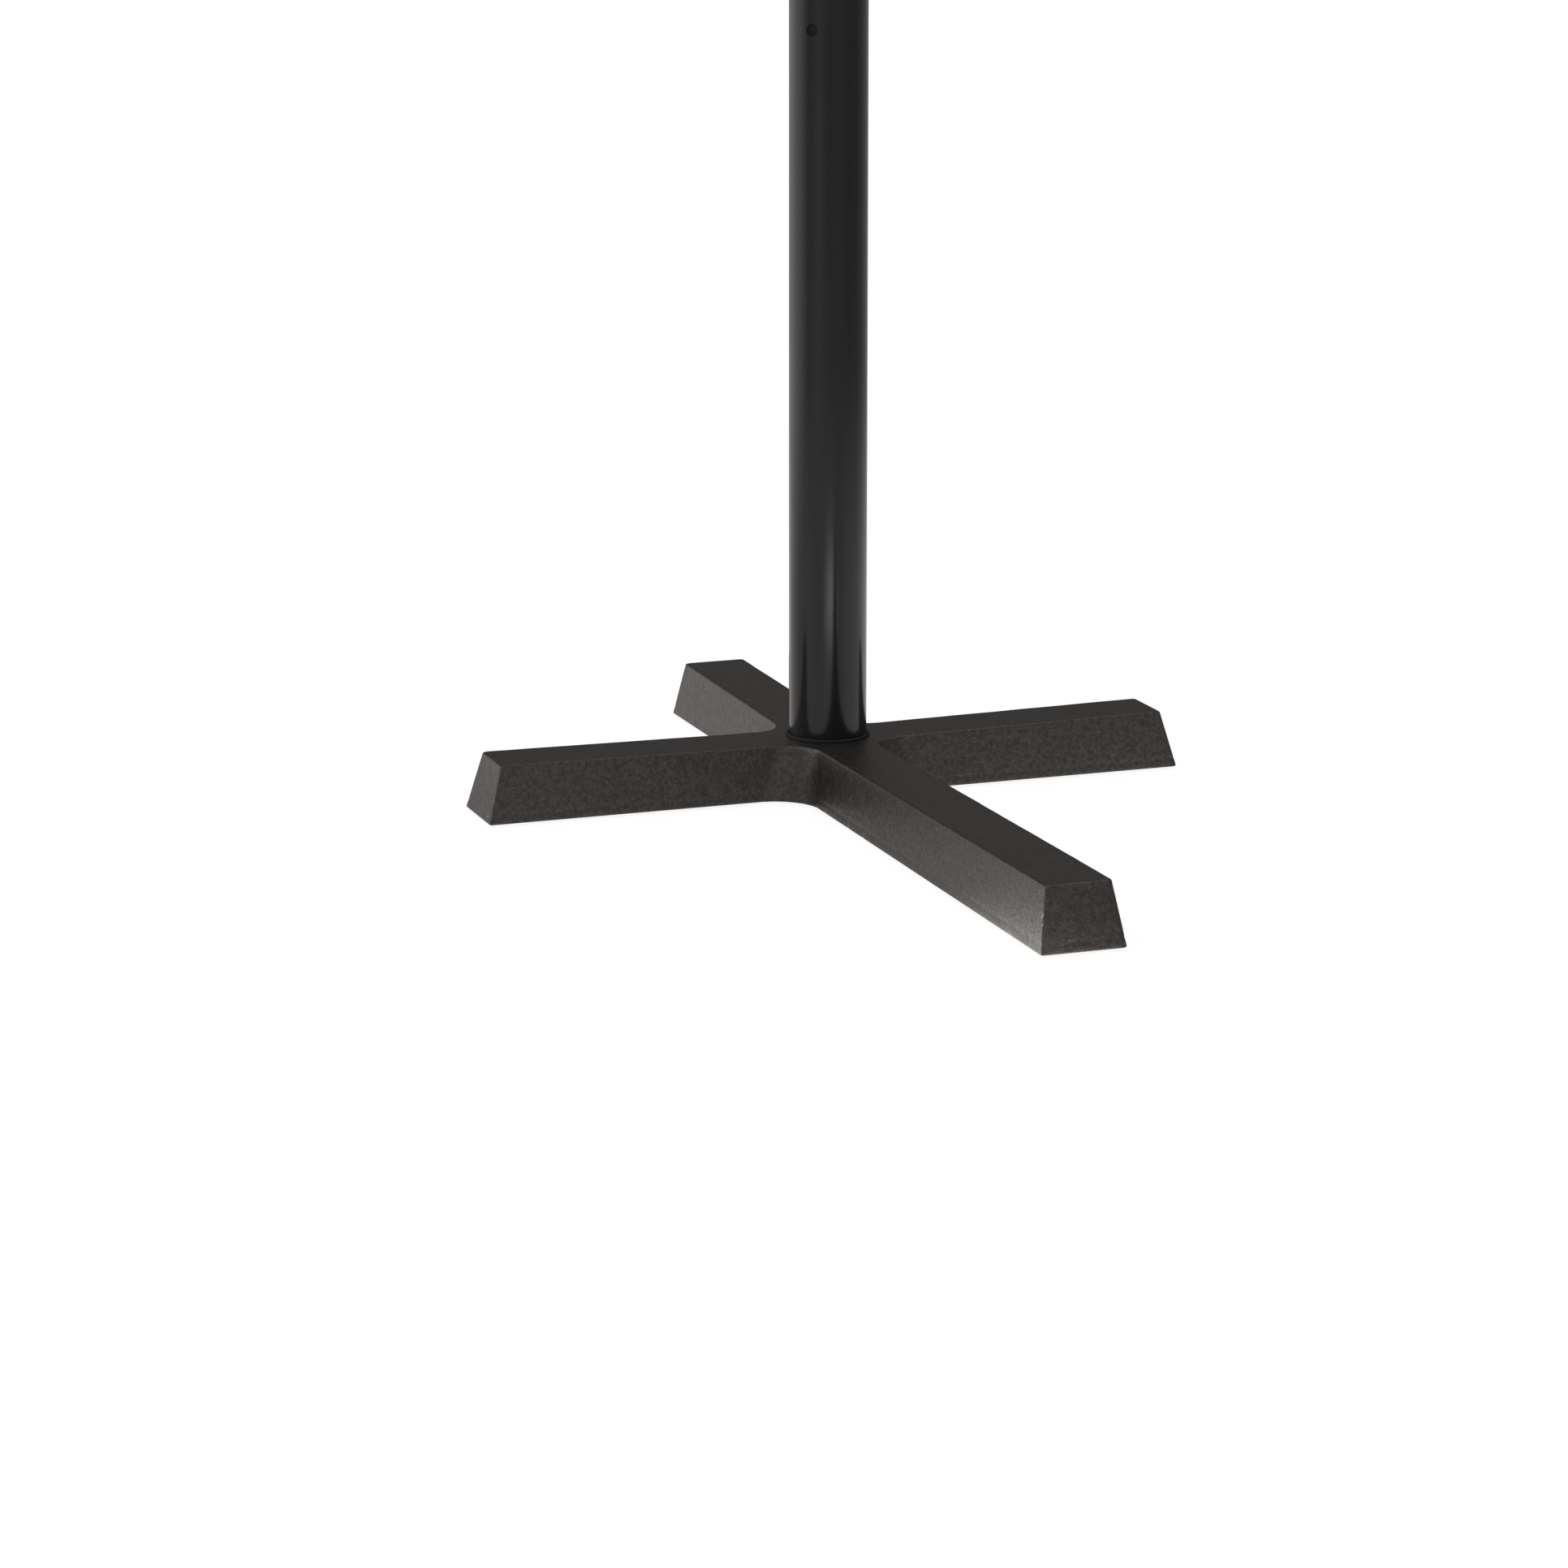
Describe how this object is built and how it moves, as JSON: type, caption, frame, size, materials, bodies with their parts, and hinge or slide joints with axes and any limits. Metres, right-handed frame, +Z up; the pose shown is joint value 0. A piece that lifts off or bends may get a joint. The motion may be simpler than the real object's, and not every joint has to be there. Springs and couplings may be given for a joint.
{
  "type": "four way clothing rack",
  "caption": "Free-standing clothing rack with a cast cross base, one longer leg, a telescoping turning post, and four hanging arms, the front one sloping.",
  "frame": {"origin": "on the floor, at the centre of the footprint's bounding box, with the glides screwed fully in; the post's axis is at y = +0.105 m", "axes": "+Z up; -Y is the direction of the long front leg and of the sloping front arm; +X is the right leg"},
  "size_m": [0.6, 0.8096, 1.4278],
  "materials": {
    "cast_black": "satin black powder coat on rough cast iron",
    "tube_black": "gloss black baked enamel on steel tube",
    "steel": "zinc plated",
    "bright_metal": "bright chrome",
    "black_steel": "black oxide",
    "black_plastic": "satin moulded",
    "glide_plastic": "matte"
  },
  "bodies": {
    "base": {"base_casting": "cast_black", "seat_ring": "black_plastic", "lower_post": "tube_black", "post_plug": "steel", "base_bolt": "steel", "base_washer": "steel", "base_lock_washer": "steel", "stop_pin": "black_steel", "collar": "tube_black", "collar_bush": "black_plastic", "collar_screws": "black_steel", "glide_lock_nuts": "steel"},
    "glide_front": {"glide_stem_front": "steel", "glide_pad_front": "glide_plastic"},
    "glide_right": {"glide_stem_right": "steel", "glide_pad_right": "glide_plastic"},
    "glide_back": {"glide_stem_back": "steel", "glide_pad_back": "glide_plastic"},
    "glide_left": {"glide_stem_left": "steel", "glide_pad_left": "glide_plastic"},
    "lift": {"guide_bush": "black_plastic"},
    "mast": {"inner_post": "tube_black", "bush_retainer": "steel", "arm_head": "tube_black", "arm_set_screws": "black_steel", "head_set_screws": "black_steel", "head_cap": "black_plastic", "front_arm": "tube_black", "hanger_pins": "bright_metal", "front_arm_cap": "black_plastic", "right_arm": "tube_black", "right_arm_stop": "black_plastic", "back_arm": "tube_black", "back_arm_stop": "black_plastic", "left_arm": "tube_black", "left_arm_stop": "black_plastic"},
    "brake_pad": {"clamp_pad": "black_plastic"},
    "knob": {"knob_stud": "steel", "clamp_knob": "black_plastic", "knob_cap": "black_plastic"}
  },
  "joints": [
    {"name": "glide_front_height", "type": "slide", "parent": "base", "child": "glide_front", "axis": [0, 0, -1], "range_m": [0, 0.008]},
    {"name": "glide_right_height", "type": "slide", "parent": "base", "child": "glide_right", "axis": [0, 0, -1], "range_m": [0, 0.008]},
    {"name": "glide_back_height", "type": "slide", "parent": "base", "child": "glide_back", "axis": [0, 0, -1], "range_m": [0, 0.008]},
    {"name": "glide_left_height", "type": "slide", "parent": "base", "child": "glide_left", "axis": [0, 0, -1], "range_m": [0, 0.008]},
    {"name": "post_height", "type": "slide", "parent": "base", "child": "lift", "axis": [0, 0, 1], "range_m": [0, 0.4]},
    {"name": "mast_turn", "type": "hinge", "parent": "lift", "child": "mast", "pos_m": [0, 0.105, 0.6], "axis": [0, 0, 1], "continuous": true},
    {"name": "pad_slide", "type": "slide", "parent": "base", "child": "brake_pad", "axis": [0, 1, 0], "range_m": [0, 0.0026]},
    {"name": "knob_turn", "type": "hinge", "parent": "brake_pad", "child": "knob", "pos_m": [0, 0.165, 1.1], "axis": [0, 1, 0], "range_deg": [0, 720]}
  ],
  "couplings": [
    {"joint": "pad_slide", "follows": "knob_turn", "m_per_rad": 0.00019894}
  ]
}
